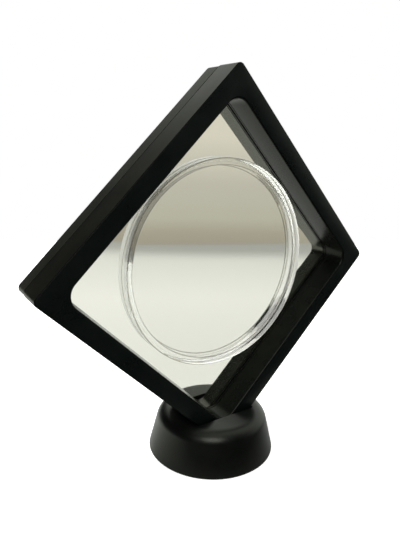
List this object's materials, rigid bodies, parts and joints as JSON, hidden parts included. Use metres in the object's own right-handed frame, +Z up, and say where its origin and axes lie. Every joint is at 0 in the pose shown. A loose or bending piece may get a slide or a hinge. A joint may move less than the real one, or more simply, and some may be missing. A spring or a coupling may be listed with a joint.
{
  "type": "floating frame display case",
  "caption": "Square two-half display case that stands on one corner in a round base and holds a clear round capsule between two stretched films.",
  "frame": {"origin": "middle of the base's foot, on the surface that it stands on", "axes": "+Z up, front of the case towards -Y, +X to the right seen from the front"},
  "size_m": [0.154, 0.0552, 0.1584],
  "materials": {
    "case_abs": "smooth black moulded ABS",
    "stand_abs": "satin black moulded ABS",
    "ring_abs": "matt black moulded ABS",
    "clear_film": "clear stretched film",
    "clear_styrene": "clear polished polystyrene",
    "pin_steel": "drawn steel wire"
  },
  "bodies": {
    "stand": {"stand_base": "stand_abs"},
    "front_half": {"front_frame": "case_abs", "front_film_ring": "ring_abs", "front_film": "clear_film", "hinge_pin_upper": "pin_steel", "hinge_pin_lower": "pin_steel"},
    "rear_half": {"rear_frame": "case_abs", "rear_film_ring": "ring_abs", "rear_film": "clear_film"},
    "capsule_rear": {"capsule_base": "clear_styrene"},
    "capsule_front": {"capsule_lid": "clear_styrene"}
  },
  "joints": [
    {"name": "case_lift", "type": "slide", "parent": "stand", "child": "front_half", "axis": [0, 0, 1], "range_m": [0, 0.3]},
    {"name": "case_hinge", "type": "hinge", "parent": "front_half", "child": "rear_half", "pos_m": [0.03889, 0.002, 0.04259], "axis": [-0.7071, 0, -0.7071], "range_deg": [0, 180]},
    {"name": "capsule_out", "type": "slide", "parent": "front_half", "child": "capsule_rear", "axis": [0, 1, 0], "range_m": [0, 0.036]},
    {"name": "capsule_lid_off", "type": "slide", "parent": "capsule_rear", "child": "capsule_front", "axis": [0, -1, 0], "range_m": [0, 0.012]}
  ],
  "couplings": [
    {"joint": "case_hinge", "follows": "case_lift", "rad_per_m": 10.47},
    {"joint": "capsule_out", "follows": "case_lift", "ratio": 0.12},
    {"joint": "capsule_lid_off", "follows": "case_lift", "ratio": 0.04}
  ]
}
